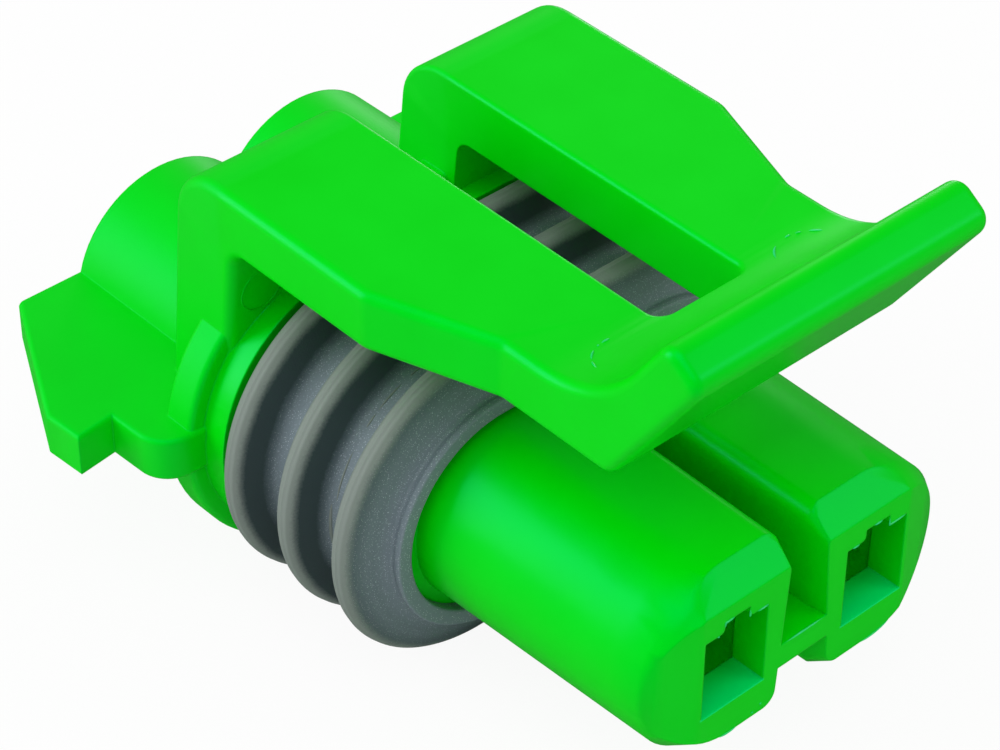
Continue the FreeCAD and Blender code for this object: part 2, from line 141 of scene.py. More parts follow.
class HousingSettings(bpy.types.PropertyGroup):
    """Green moulded housing."""

    green: colour("Green", "Colour of the moulding", (0.0, 0.70, 0.001))
    deep_green: colour("Deep green", "Colour where the moulding flows thin", (0.0, 0.64, 0.0))
    # Paler tone painted on the windows' floors: a painted highlight, not a colour of the moulding.
    painted_floor_highlight: colour("Blush", "Paler tone on the windows' floors", (0.0, 0.80, 0.14))
    gloss_tint: colour("Gloss tint", "Colour of the moulding's reflections", (0.0, 0.85, 0.9))
    gloss: factor("Gloss", "Strength of the moulding's reflections", 0.30)
    roughness: factor("Roughness", "Roughness of the polished faces", 0.30)
    rear_roughness: factor("Rear roughness", "Roughness of the spark-eroded cable end", 0.44)
    patchiness: factor("Patchiness", "How much the roughness varies", 0.06)
    grain_size: length("Grain size", "Size of the grain left by the mould", 0.11 * MM)
    grain_depth: length("Grain depth", "Depth of the grain left by the mould", 0.0016 * MM)
    wave_size: length("Wave size", "Size of the moulding's slow changes of tone", 2.5 * MM)
    front_grain: number("Front grain", "Share of the grain's depth on the polished faces", 0.35)
    rear_grain: number("Rear grain", "Share of the grain's depth at the cable end", 2.2)
    edge_round: length("Edge round", "How far the shading softens sharp edges", 0.11 * MM)
    rear_start: length("Rear start", "Where the rougher cable end starts, along Y", 20.5 * MM)
    rear_blend: length("Rear blend", "Length over which the faces turn rougher", 0.3 * MM)
    way_centre: length("Way centre", "Middle of each window, along X", 3.45 * MM)
    window_half: length("Window half", "Half the windows' width", 1.5 * MM)
    window_rise: length("Window rise", "Half the windows' height", 1.75 * MM)
    window_depth: length("Window depth", "Thickness of the front walls", 1.5 * MM)
    window_margin: length("Window margin", "How far off a floor its tone reaches", 0.05 * MM)
    # Where the painted highlight on the floors fades out into the front wall.
    floor_highlight_start: factor("Blush start", "Where the floors' tone starts to fade in the wall", 0.3)
    floor_highlight_end: factor("Blush end", "Share of that tone left behind the wall", 0.4)
    keyway_half: length("Keyway half", "Half the width of the notch in each window", 0.6 * MM)
    keyway_rise: length("Keyway rise", "Depth of the notch in each window", 0.45 * MM)
    web_half: length("Web half", "Half the width of the bridge between the towers", 0.9 * MM)
    web_drop: length("Web drop", "How far the bridge's top lies below the axis", 0.67 * MM)
    nose_radius: length("Nose radius", "Radius of the towers at the mating face", 3.22 * MM)
    flash_radius: length("Flash radius", "Half the thickness of the flash on edges", 0.04 * MM)
    flash_gaps: factor("Flash gaps", "How much of an edge carries no flash", 0.45)
    # The flash's paler colour is a painted glint.
    flash_glint_colour: colour("Flash colour", "Colour of the thin flash", (0.02, 0.72, 0.34))
    flash_wave: length("Flash wave", "Size of the flash's changes of colour", 0.6 * MM)
    pin_radius: length("Pin radius", "Radius of the ejector pins' marks", 0.9 * MM)
    pin_x: length("Pin place", "Middle of the pins' marks on the latch's legs, along X", 7.1 * MM)
    pin_z: length("Pin height", "Middle of the pins' marks on the latch's legs, along Z", 6.2 * MM)
    pin_front: length("Pin front", "A place along Y that is clear in front of the legs", 16 * MM)
    lip_pin_x: length("Lip pin place", "Middle of the pins' marks on the lip, along X", 4.25 * MM)
    lip_pin_y: length("Lip pin depth", "Middle of the pins' marks on the lip, along Y", 4.6 * MM)
    lip_pin_top: length("Lip pin top", "A place along Z that is clear above those marks", 13 * MM)
    lip_pin_radius: length("Lip pin radius", "Radius of the pins' marks on the lip", 1.33 * MM)
    line_radius: length("Line radius", "Half the width of the pins' marks", 0.035 * MM)
    crease: angle("Crease", "Edges sharper than this stay sharp", 40)


class RingSealSettings(bpy.types.PropertyGroup):
    """Ribbed ring seal round the housing's waist."""

    grey: colour("Grey", "Colour of the rubber in the grooves", (0.165, 0.215, 0.245))
    # Painted shade on the ribs' flanks, not a colour of the rubber.
    painted_flank_shade: colour("Dark grey", "Colour of the rubber on the flanks", (0.030, 0.055, 0.058))
    # Crests paler from wear, partly a painted sheen.
    crest_wear_and_sheen: colour("Crest grey", "Colour of the rubber on the crests", (0.195, 0.235, 0.212))
    speck_colour: colour("Specks", "Colour of the fine specks", (0.58, 0.66, 0.70))
    roughness: factor("Roughness", "Roughness of the rubber", 0.58)
    patchiness: factor("Patchiness", "How much the roughness varies", 0.12)
    step: length("Step", "Distance between the sweep's sections", 0.14 * MM)
    half_flat: length("Half flat", "Half the seal's straight part, along X", 3.85 * MM)
    seat_radius: length("Seat radius", "Inner radius at the rounded ends", 4.25 * MM)
    front: length("Front", "Front edge, along Y", SEAL_LOW.y)
    rear: length("Rear", "Rear edge, along Y", SEAL_HIGH.y)
    edge_round: length("Edge round", "Rounding of the seal's ends", 0.12 * MM)
    lip_radius: length("Lip radius", "Radius of the front lip", 4.9 * MM)
    lip_width: length("Lip width", "Width of the front lip", 0.22 * MM)
    valley_radius: length("Valley radius", "Radius just behind the front lip", 4.78 * MM)
    valley_run: length("Valley run", "Front edge to the lowest place behind the lip", 0.5 * MM)
    groove_radius: length("Groove radius", "Radius between the ribs", 5.15 * MM)
    crest_radius: length("Crest radius", "Radius of the ribs", 6.56 * MM)
    flash_height: length("Flash height", "Height of the parting line on each crest", 0.03 * MM)
    flash_width: length("Flash width", "Width of the parting line on each crest", 0.06 * MM)
    first_rib: length("First rib", "Crest nearest to the mating face, along Y", 12.55 * MM)
    rib_pitch: length("Rib pitch", "Crest to crest", 2.96 * MM)
    rib_count: IntProperty(name="Ribs", description="Number of ribs", default=3, min=1)
    crest_round: length("Crest round", "Rounding of the crests", 0.42 * MM)
    flank_run: length("Flank run", "How far a rib's foot reaches beyond its crest", 0.55 * MM)
    foot_round: length("Foot round", "Rounding where a rib meets the groove", 0.35 * MM)
    unevenness: length("Unevenness", "Height of the rubber's unevenness", 0.008 * MM)
    relief: length("Relief", "Depth of the rubber's grain", 0.006 * MM)
    # Flanks in front of this place get less painted shade.
    shade_lift_front: length("Pale front", "Flanks in front of this place along Y are paler", 12.3 * MM)
    shade_lift_blend: length("Pale blend", "Length over which they turn paler", 0.4 * MM)
    kept_shade_share: factor("Pale share", "How much of the flanks' colour stays there", 0.3)
    seam_y: length("Seam place", "Parting line in the front groove, along Y", 14.25 * MM)
    seam_radius: length("Seam radius", "Half the width of that parting line", 0.042 * MM)
    seam_gaps: factor("Seam gaps", "How much of the parting line is missing", 0.15)
    bars_gap: length("Bars gap", "Parting line to the nearer of the two short bars", 0.2 * MM)
    bars_pitch: length("Bars pitch", "Distance between the two short bars", 0.35 * MM)
    bar_radius: length("Bar radius", "Half the width of the two short bars", 0.08 * MM)


class CableSealSettings(bpy.types.PropertyGroup):
    """Ribbed plug in each cable tube."""

    grey: colour("Grey", "Colour of the rubber in the grooves", (0.150, 0.190, 0.215))
    # Painted shade on the ribs' flanks, not a colour of the rubber.
    painted_flank_shade: colour("Dark grey", "Colour of the rubber on the flanks", (0.070, 0.095, 0.100))
    # Crests paler from wear, partly a painted sheen.
    crest_wear_and_sheen: colour("Crest grey", "Colour of the rubber on the crests", (0.195, 0.235, 0.212))
    speck_colour: colour("Specks", "Colour of the fine specks", (0.58, 0.66, 0.70))
    roughness: factor("Roughness", "Roughness of the rubber", 0.62)
    patchiness: factor("Patchiness", "How much the roughness varies", 0.12)
    step: length("Step", "Distance between the sweep's sections", 0.09 * MM)
    hole_radius: length("Hole radius", "Radius of the wire's hole", 1.0 * MM)
    core_radius: length("Core radius", "Radius between the ribs", 2.75 * MM)
    rib_radius: length("Rib radius", "Radius of the ribs", (PLUG_HIGH.z - PLUG_LOW.z) / 2)
    rib_count: IntProperty(name="Ribs", description="Number of ribs", default=3, min=1)
    crest_round: length("Crest round", "Rounding of the crests", 0.35 * MM)
    flank_run: length("Flank run", "How far a rib's foot reaches beyond its crest", 0.2 * MM)
    edge_round: length("Edge round", "Rounding of the plug's ends", 0.15 * MM)
    unevenness: length("Unevenness", "Height of the rubber's unevenness", 0.004 * MM)
    relief: length("Relief", "Depth of the rubber's grain", 0.006 * MM)
    # Flanks in front of this place get less painted shade.
    shade_lift_front: length("Pale front", "Flanks in front of this place along Y are paler", 0.0)
    shade_lift_blend: length("Pale blend", "Length over which they turn paler", 0.4 * MM)
    kept_shade_share: factor("Pale share", "How much of the flanks' colour stays there", 0.3)


class ContactSettings(bpy.types.PropertyGroup):
    """Stamped socket contacts."""

    metal: colour("Metal", "Colour of the plated sheet", (0.78, 0.72, 0.60))
    stain: colour("Stain", "Colour of the slight staining", (0.55, 0.47, 0.34))
    roughness: factor("Roughness", "Roughness of the sheet", 0.28)
    patchiness: factor("Patchiness", "How much the roughness varies", 0.15)
    edge_round: length("Edge round", "Rounding of the sheet's edges", 0.05 * MM)
    relief: length("Relief", "Depth of the sheet's grain", 0.0008 * MM)


class StageSettings(bpy.types.PropertyGroup):
    """Floor, lamps and camera."""

    floor: colour("Floor", "Colour of the floor", (0.84, 0.84, 0.84))
    floor_white: factor("Floor white", "How far the floor goes to white in the picture", 0.93)
    gloss_white: factor("Gloss white", "How bright the surroundings are in reflections", 0.06)
    world_level: number("World level", "Light from all round", 0.58)
    back_power: number("Back power", "Tall softbox behind, in watts", 0.57)
    far_power: number("Far power", "Low softbox on the far side, in watts", 0.10)
    front_power: number("Front power", "Softbox at the front, in watts", 0.20)
    fill_power: number("Fill power", "Wide softbox above, in watts", 0.44)
    azimuth: angle("Azimuth", "Camera's bearing round the connector", -42.804)
    elevation: angle("Elevation", "Camera's height above the horizon", 38.761)
    roll: angle("Roll", "Turn of the camera about its own axis", 0.505)
    distance: length("Distance", "Camera to the mating face's centre", 111.48 * MM)
    focal: number("Focal length", "In pixels of the picture", 3261.3)
    centre_u: number("Centre across", "Mating face's centre in the picture, in pixels", 805.45)
    centre_v: number("Centre down", "Mating face's centre in the picture, in pixels", 615.71)


# Node helpers

def add(tree, kind, feeds=None, **settings):
    """Adds a node, sets its options and feeds its inputs from values or from other sockets."""
    made = tree.nodes.new(kind)
    for option, value in settings.items():
        setattr(made, option, value)
    for key, value in (feeds or {}).items():
        if isinstance(value, bpy.types.NodeSocket):
            tree.links.new(value, made.inputs[key])
        else:
            made.inputs[key].default_value = value
    return made


def calc(tree, operation, *values):
    """Result of a math node, whose values are numbers or other sockets."""
    return add(tree, "ShaderNodeMath", dict(enumerate(values)), operation=operation).outputs[0]


def ramp(tree, value, start, end, first=0.0, last=1.0):
    """Goes from the first to the last result while the value goes from start to end."""
    return add(tree, "ShaderNodeMapRange", {
        "Value": value, "From Min": start, "From Max": end,
        "To Min": first, "To Max": last}).outputs["Result"]


def place_in_object(tree):
    return add(tree, "ShaderNodeTexCoord").outputs["Object"]


def split_place(tree, place):
    return add(tree, "ShaderNodeSeparateXYZ", {"Vector": place}).outputs


def group_tree(name, kind, inputs, outputs):
    """A node group with named inputs, each with its default, and named outputs."""
    tree = bpy.data.node_groups.new(name, kind)
    for label, socket_type, default in inputs:
        socket = tree.interface.new_socket(label, in_out="INPUT", socket_type=socket_type)
        if default is not None:
            socket.default_value = default
    for label, socket_type in outputs:
        tree.interface.new_socket(label, in_out="OUTPUT", socket_type=socket_type)
    return tree, tree.nodes.new("NodeGroupInput").outputs, tree.nodes.new("NodeGroupOutput")


def rgba(rgb):
    return (*rgb, 1.0)


# Shader groups

def mould_grain_group():
    """Fine grain and slow waviness that the mould leaves on plastic and rubber."""
    tree, given, out = group_tree("Mould grain", "ShaderNodeTree", [
        ("Grain Size", "NodeSocketFloat", 0.1 * MM),
        ("Wave Size", "NodeSocketFloat", 3 * MM),
        ("Wave Share", "NodeSocketFloat", 0.3),
    ], [("Height", "NodeSocketFloat"), ("Tone", "NodeSocketFloat")])
    place = place_in_object(tree)
    grain = add(tree, "ShaderNodeTexNoise", {
        "Vector": place, "Scale": calc(tree, "DIVIDE", 1.0, given["Grain Size"]),
        "Detail": 3.0, "Roughness": 0.6})
    wave = add(tree, "ShaderNodeTexNoise", {
        "Vector": place, "Scale": calc(tree, "DIVIDE", 1.0, given["Wave Size"]),
        "Detail": 2.0, "Roughness": 0.5})
    swell = calc(tree, "MULTIPLY", wave.outputs["Fac"], given["Wave Share"])
    height = calc(tree, "ADD", grain.outputs["Fac"], swell)
    tree.links.new(height, out.inputs["Height"])
    tree.links.new(wave.outputs["Fac"], out.inputs["Tone"])
    return tree


def dust_group():
    """Pale specks scattered over rubber."""
    tree, given, out = group_tree("Dust specks", "ShaderNodeTree", [
        ("Speck Size", "NodeSocketFloat", 0.12 * MM),
        ("Amount", "NodeSocketFloat", 0.3),
    ], [("Speck", "NodeSocketFloat")])
    cells = add(tree, "ShaderNodeTexVoronoi", {
        "Vector": place_in_object(tree), "Scale": calc(tree, "DIVIDE", 1.0, given["Speck Size"])},
        feature="F1")
    dot = ramp(tree, cells.outputs["Distance"], *SPECK_FADE, 1.0, 0.0)
    chance = add(tree, "ShaderNodeSeparateColor", {"Color": cells.outputs["Color"]})
    kept = calc(tree, "LESS_THAN", chance.outputs[0], given["Amount"])
    shade = calc(tree, "MULTIPLY", chance.outputs[1], kept)
    tree.links.new(calc(tree, "MULTIPLY", dot, shade), out.inputs["Speck"])
    return tree


def shared_group(name, build):
    return bpy.data.node_groups.get(name) or build()


def place_group(tree, name, build, feeds):
    """Outputs of a shared shader group that is placed in a tree."""
    node = tree.nodes.new("ShaderNodeGroup")
    node.node_tree = shared_group(name, build)
    for key, value in feeds.items():
        node.inputs[key].default_value = value
    return node.outputs


def surface(name, **sockets):
    """A material with one Principled shader, its constant values on the shader's own sockets."""
    material = bpy.data.materials.new(name)
    material.use_nodes = True
    tree = material.node_tree
    tree.nodes.clear()
    shader = add(tree, "ShaderNodeBsdfPrincipled",
                 {key.replace("_", " "): value for key, value in sockets.items()})
    add(tree, "ShaderNodeOutputMaterial", {"Surface": shader.outputs[0]})
    return material, tree, shader


def blend_colours(tree, share, first, second):
    """Goes from the first to the second colour with the share, by a mix node's colour sockets."""
    mixed = add(tree, "ShaderNodeMix", data_type="RGBA")
    for socket, value in zip((mixed.inputs[0], mixed.inputs[6], mixed.inputs[7]),
                             (share, first, second)):
        if isinstance(value, bpy.types.NodeSocket):
            tree.links.new(value, socket)
        else:
            socket.default_value = value
    return mixed.outputs[2]


def bump(tree, shader, height, depth, edge_round=0.0):
    """Surface relief, over sharp edges that are softened where an edge round is given."""
    made = add(tree, "ShaderNodeBump", {"Height": height, "Distance": depth, "Strength": 1.0})
    if edge_round:
        softened = add(tree, "ShaderNodeBevel", {"Radius": edge_round}, samples=8)
        tree.links.new(softened.outputs[0], made.inputs["Normal"])
    tree.links.new(made.outputs[0], shader.inputs["Normal"])


def green_plastic(look):
    """Polished green moulding with a rougher, spark-eroded cable end, and a painted highlight on
    the windows' floors.
    """
    material, tree, shader = surface("Green moulding", Specular_Tint=rgba(look.gloss_tint), IOR=1.5,
                                     Specular_IOR_Level=look.gloss)
    grain = place_group(tree, "Mould grain", mould_grain_group, {
        "Grain Size": look.grain_size, "Wave Size": look.wave_size, "Wave Share": 0.5})
    tone = blend_colours(tree, grain["Tone"], rgba(look.deep_green), rgba(look.green))
    place = split_place(tree, place_in_object(tree))
    # Mask of the windows' floors, where a paler green is painted as a highlight.
    inside = calc(tree, "COMPARE", calc(tree, "ABSOLUTE", place["X"]), look.way_centre,
                  look.window_half + look.window_margin)
    low = calc(tree, "COMPARE", place["Z"], -look.window_rise, look.window_margin)
    near = ramp(tree, place["Y"], look.window_depth * look.floor_highlight_start, look.window_depth,
                1.0, look.floor_highlight_end)
    floors = calc(tree, "MULTIPLY", calc(tree, "MULTIPLY", inside, low), near)
    # Paints the floors' highlight into the base colour.
    tone = blend_colours(tree, floors, tone, rgba(look.painted_floor_highlight))
    tree.links.new(tone, shader.inputs["Base Color"])
    rear_end = look.rear_start + look.rear_blend
    rough = ramp(tree, place["Y"], look.rear_start, rear_end, look.roughness, look.rear_roughness)
    varied = calc(tree, "MULTIPLY_ADD", grain["Tone"], look.patchiness, rough)
    tree.links.new(varied, shader.inputs["Roughness"])
    coarse = ramp(tree, place["Y"], look.rear_start, rear_end, look.front_grain, look.rear_grain)
    height = calc(tree, "MULTIPLY", grain["Height"], coarse)
    bump(tree, shader, height, look.grain_depth, look.edge_round)
    return material


def flash_with_painted_glint(look):
    """Thin flash on edges, coloured paler than the moulding as a painted glint."""
    material, tree, shader = surface("Flash with painted glint", Roughness=look.roughness)
    grain = place_group(tree, "Mould grain", mould_grain_group, {
        "Grain Size": look.grain_size, "Wave Size": look.flash_wave, "Wave Share": 0.5})
    # Paler green for a painted glint, varied by the slow waves.
    tone = blend_colours(tree, grain["Tone"], rgba(look.green), rgba(look.flash_glint_colour))
    tree.links.new(tone, shader.inputs["Base Color"])
    return material


def rubber_with_painted_shade(name, look):
    """Matt grey rubber with painted shade on the ribs' flanks, paler crests from wear and a painted
    sheen, and speckled elsewhere.
    """
    material, tree, shader = surface(name, IOR=1.45)
    grain = place_group(tree, "Mould grain", mould_grain_group,
                        {"Grain Size": 0.09 * MM, "Wave Size": 1.6 * MM, "Wave Share": 0.8})
    specks = place_group(tree, "Dust specks", dust_group,
                         {"Speck Size": 0.06 * MM, "Amount": 0.85})
    rise = add(tree, "ShaderNodeAttribute", attribute_name=RISE).outputs["Fac"]
    ragged = calc(tree, "MULTIPLY_ADD", grain["Height"], RISE_SHIFT, rise)
    # Painted shade on the flanks, and the crests' wear and painted sheen, both set by rib height.
    flank_shade = ramp(tree, ragged, *FLANK_SHADE_RISE)
    crest = ramp(tree, ragged, *CREST_WEAR_AND_SHEEN_RISE)
    along = split_place(tree, place_in_object(tree))["Y"]
    # Less painted shade on the flanks at the front.
    behind = ramp(tree, along, look.shade_lift_front - look.shade_lift_blend, look.shade_lift_front,
                  look.kept_shade_share, 1.0)
    shaded = calc(tree, "MULTIPLY", flank_shade, behind)
    body = blend_colours(tree, shaded, rgba(look.grey), rgba(look.painted_flank_shade))
    body = blend_colours(tree, crest, body, rgba(look.crest_wear_and_sheen))
    # Specks fade out under the painted shade.
    shown = calc(tree, "MULTIPLY", specks["Speck"], calc(tree, "SUBTRACT", 1.0, shaded))
    specked = blend_colours(tree, shown, body, rgba(look.speck_colour))
    tree.links.new(specked, shader.inputs["Base Color"])
    rough = calc(tree, "MULTIPLY_ADD", grain["Tone"], look.patchiness, look.roughness)
    tree.links.new(rough, shader.inputs["Roughness"])
    height = calc(tree, "ADD", grain["Height"], specks["Speck"])
    bump(tree, shader, height, look.relief)
    return material


def plated_metal(look):
    """Plated sheet of the contacts, slightly stained."""
    material, tree, shader = surface("Plated contact", Metallic=1.0)
    grain = place_group(tree, "Mould grain", mould_grain_group,
                        {"Grain Size": 0.05 * MM, "Wave Size": 0.8 * MM, "Wave Share": 1.0})
    tone = blend_colours(tree, grain["Tone"], rgba(look.stain), rgba(look.metal))
    tree.links.new(tone, shader.inputs["Base Color"])
    rough = calc(tree, "MULTIPLY_ADD", grain["Height"], look.patchiness, look.roughness)
    tree.links.new(rough, shader.inputs["Roughness"])
    bump(tree, shader, grain["Height"], look.relief)
    return material


# Mesh helpers

def link_object(name, mesh):
    made = bpy.data.objects.new(name, mesh)
    bpy.context.scene.collection.objects.link(made)
    return made


def merged_copy(node):
    """Copy of a CAD node's mesh with its loose triangles joined."""
    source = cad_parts[node].data
    mesh = bpy.data.meshes.new(node)
    mesh.from_pydata([v.co[:] for v in source.vertices], [],
                     [tuple(p.vertices) for p in source.polygons])
    work = bmesh.new()
    work.from_mesh(mesh)
    bmesh.ops.remove_doubles(work, verts=work.verts, dist=SAME_PLACE)
    work.to_mesh(mesh)
    work.free()
    return mesh


def make_plain(made):
    """Turns an object's live modifiers into a plain mesh."""
    bpy.context.view_layer.update()
    solved = made.evaluated_get(bpy.context.evaluated_depsgraph_get())
    plain = bpy.data.meshes.new_from_object(solved)
    made.modifiers.clear()
    made.data = plain


def settle(made, slot, *replaced):
    """Places a finished piece on the frame's body."""
    if made.modifiers:
        make_plain(made)
    made.data.name = made.name
    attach(made, BODY)
    if replaced:
        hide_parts(*replaced)
    return made


def face_outwards(mesh):
    work = bmesh.new()
    work.from_mesh(mesh)
    bmesh.ops.recalc_face_normals(work, faces=work.faces)
    work.to_mesh(mesh)
    work.free()


def rounded_outline(corners, steps=6):
    """Closed outline through corners (x, y, round), each corner replaced by a small arc."""
    points = []
    count = len(corners)
    for i, (x, y, radius) in enumerate(corners):
        here = Vector((x, y))
        before = Vector(corners[i - 1][:2]) - here
        after = Vector(corners[(i + 1) % count][:2]) - here
        opening = before.angle(after)
        if radius <= 0 or math.pi - opening < STRAIGHT:
            points.append(here)
            continue
        longest = min(before.length, after.length) * ARC_SHARE
        reach = min(radius / math.tan(opening / 2), longest)
        start, end = here + before.normalized() * reach, here + after.normalized() * reach
        for k in range(steps + 1):
            t = k / steps
            points.append(start * (1 - t) ** 2 + here * 2 * t * (1 - t) + end * t ** 2)
    return points


def outline_mesh(name, points):
    """Outline as a closed ring of edges in the plane z = 0."""
    mesh = bpy.data.meshes.new(name)
    edges = [(i, (i + 1) % len(points)) for i in range(len(points))]
    mesh.from_pydata([(p.x, p.y, 0.0) for p in points], edges, [])
    return mesh


# Ribbed seals

def seal_sweep_tree():
    """Geometry Nodes: a seal's section swept along two straights and two half rounds."""
    tree, given, out = group_tree("Seal sweep", "GeometryNodeTree", [
        ("Section", "NodeSocketGeometry", None),
        ("Half Flat", "NodeSocketFloat", 0.0),
        ("Seat Radius", "NodeSocketFloat", 4 * MM),
        ("Step", "NodeSocketFloat", 0.12 * MM),
        ("Unevenness", "NodeSocketFloat", 0.0),
        ("Bump Size", "NodeSocketFloat", 0.45 * MM),
        ("Groove", "NodeSocketFloat", 1 * MM),
        ("Crest", "NodeSocketFloat", 2 * MM),
        ("Seed", "NodeSocketFloat", 3.0),
        ("Material", "NodeSocketMaterial", None),
    ], [("Seal", "NodeSocketGeometry")])
    ring = add(tree, "GeometryNodeCurvePrimitiveCircle",
               {"Resolution": 512, "Radius": given["Seat Radius"]}, mode="RADIUS")
    place = add(tree, "GeometryNodeInputPosition").outputs[0]
    across = split_place(tree, place)["X"]
    shift = calc(tree, "MULTIPLY", calc(tree, "SIGN", across), given["Half Flat"])
    offset = add(tree, "ShaderNodeCombineXYZ", {"X": shift}).outputs[0]
    path = add(tree, "GeometryNodeSetPosition",
               {"Geometry": ring.outputs["Curve"], "Offset": offset}).outputs[0]
    path = add(tree, "GeometryNodeResampleCurve", {"Curve": path, "Length": given["Step"]},
               mode="LENGTH").outputs[0]
    section = add(tree, "GeometryNodeMeshToCurve", {"Mesh": given["Section"]}).outputs[0]
    rise = ramp(tree, across, given["Groove"], given["Crest"])
    section = add(tree, "GeometryNodeStoreNamedAttribute",
                  {"Geometry": section, "Name": RISE, "Value": rise}).outputs[0]
    swept = add(tree, "GeometryNodeCurveToMesh",
                {"Curve": path, "Profile Curve": section}).outputs[0]
    turned = add(tree, "GeometryNodeTransform",
                 {"Geometry": swept, "Rotation": (math.pi / 2, 0.0, 0.0)}).outputs[0]
    noise = add(tree, "ShaderNodeTexNoise",
                {"Vector": place, "W": given["Seed"],
                 "Scale": calc(tree, "DIVIDE", 1.0, given["Bump Size"]), "Detail": 3.0},
                noise_dimensions="4D")
    centred = calc(tree, "SUBTRACT", noise.outputs["Fac"], 0.5)
    push = calc(tree, "MULTIPLY", centred, given["Unevenness"])
    normal = add(tree, "GeometryNodeInputNormal").outputs[0]
    nudge = add(tree, "ShaderNodeVectorMath", {0: normal, "Scale": push}, operation="SCALE")
    moved = add(tree, "GeometryNodeSetPosition",
                {"Geometry": turned, "Offset": nudge.outputs[0]}).outputs[0]
    smooth = add(tree, "GeometryNodeSetShadeSmooth", {0: moved}).outputs[0]
    real = add(tree, "GeometryNodeRealizeInstances", {0: smooth}).outputs[0]
    finished = add(tree, "GeometryNodeSetMaterial",
                   {"Geometry": real, "Material": given["Material"]}).outputs[0]
    tree.links.new(finished, out.inputs["Seal"])
    return tree


def grown(name, mesh, label, build, values):
    """Object that a node tree grows from a mesh, kept as a plain mesh that faces outwards."""
    made = link_object(name, mesh)
    grow = made.modifiers.new(label, "NODES")
    grow.node_group = shared_group(label, build)
    for item in grow.node_group.interface.items_tree:
        if item.in_out == "INPUT" and item.name in values:
            grow[item.identifier] = values[item.name]
    make_plain(made)
    face_outwards(made.data)
    return made


def sweep_seal(name, outline, material, look, half_flat, seat_radius, groove, crest):
    """Seal made from its section by the sweep."""
    return grown(name, outline_mesh(name, outline), "Seal sweep", seal_sweep_tree, {
        "Half Flat": half_flat, "Seat Radius": seat_radius, "Step": look.step,
        "Unevenness": look.unevenness, "Groove": groove - seat_radius,
        "Crest": crest - seat_radius, "Material": material})


def rib_corners(y, groove, crest, crest_round, run, foot_round, flash_height=0.0, flash_width=0.0):
    """Corners of one rib in a seal's section, with the parting line on its crest."""
    shoulder = crest - crest_round * SHOULDER_DROP
    shoulder_round, top_half = crest_round * SHOULDER_ROUND, crest_round * TOP_HALF
    front = [(groove, y - crest_round - run, foot_round),
             (shoulder, y - crest_round, shoulder_round), (crest, y - top_half, top_half)]
    flash = [(crest, y - flash_width, 0.0), (crest + flash_height, y - flash_width / 3, 0.0),
             (crest + flash_height, y + flash_width / 3, 0.0), (crest, y + flash_width, 0.0)]
    rear = [(crest, y + top_half, top_half), (shoulder, y + crest_round, shoulder_round),
            (groove, y + crest_round + run, foot_round)]
    return front + (flash if flash_height else []) + rear


# Raised lines

def raised_line_tree():
    """Geometry Nodes: a thin round line along each path, broken up where its noise is low."""
    tree, given, out = group_tree("Raised line", "GeometryNodeTree", [
        ("Path", "NodeSocketGeometry", None),
        ("Radius", "NodeSocketFloat", 0.03 * MM),
        ("Step", "NodeSocketFloat", 0.06 * MM),
        ("Gaps", "NodeSocketFloat", 0.0),
        ("Gap Size", "NodeSocketFloat", 0.5 * MM),
        ("Taper", "NodeSocketFloat", 0.0),
        ("Rise", "NodeSocketFloat", LINE_RISE),
        ("Seed", "NodeSocketFloat", 5.0),
        ("Material", "NodeSocketMaterial", None),
    ], [("Line", "NodeSocketGeometry")])
    path = add(tree, "GeometryNodeMeshToCurve", {"Mesh": given["Path"]}).outputs[0]
    path = add(tree, "GeometryNodeResampleCurve", {"Curve": path, "Length": given["Step"]},
               mode="LENGTH").outputs[0]
    fine = add(tree, "GeometryNodeCurveToMesh", {"Curve": path}).outputs[0]
    noise = add(tree, "ShaderNodeTexNoise", {
        "Vector": add(tree, "GeometryNodeInputPosition").outputs[0], "W": given["Seed"],
        "Scale": calc(tree, "DIVIDE", 1.0, given["Gap Size"]), "Detail": 1.0},
        noise_dimensions="4D")
    level = ramp(tree, noise.outputs["Fac"], *NOISE_RANGE)
    gone = calc(tree, "LESS_THAN", level, given["Gaps"])
    kept = add(tree, "GeometryNodeDeleteGeometry", {"Geometry": fine, "Selection": gone},
               domain="POINT").outputs[0]
    pieces = add(tree, "GeometryNodeMeshToCurve", {"Mesh": kept}).outputs[0]
    # Each piece thins towards its ends, most of all close to them.
    share = add(tree, "GeometryNodeSplineParameter").outputs["Factor"]
    off = calc(tree, "ABSOLUTE", calc(tree, "MULTIPLY_ADD", share, 2.0, -1.0))
    pinch = calc(tree, "MULTIPLY", calc(tree, "POWER", off, 3.0), given["Taper"])
    section = add(tree, "GeometryNodeCurvePrimitiveCircle",
                  {"Resolution": 6, "Radius": given["Radius"]}, mode="RADIUS").outputs["Curve"]
    line = add(tree, "GeometryNodeCurveToMesh", {
        "Curve": pieces, "Profile Curve": section, "Scale": calc(tree, "SUBTRACT", 1.0, pinch),
        "Fill Caps": True}).outputs[0]
    line = add(tree, "GeometryNodeStoreNamedAttribute",
               {"Geometry": line, "Name": RISE, "Value": given["Rise"]}).outputs[0]
    smooth = add(tree, "GeometryNodeSetShadeSmooth", {0: line}).outputs[0]
    real = add(tree, "GeometryNodeRealizeInstances", {0: smooth}).outputs[0]
    finished = add(tree, "GeometryNodeSetMaterial",
                   {"Geometry": real, "Material": given["Material"]}).outputs[0]
    tree.links.new(finished, out.inputs["Line"])
    return tree


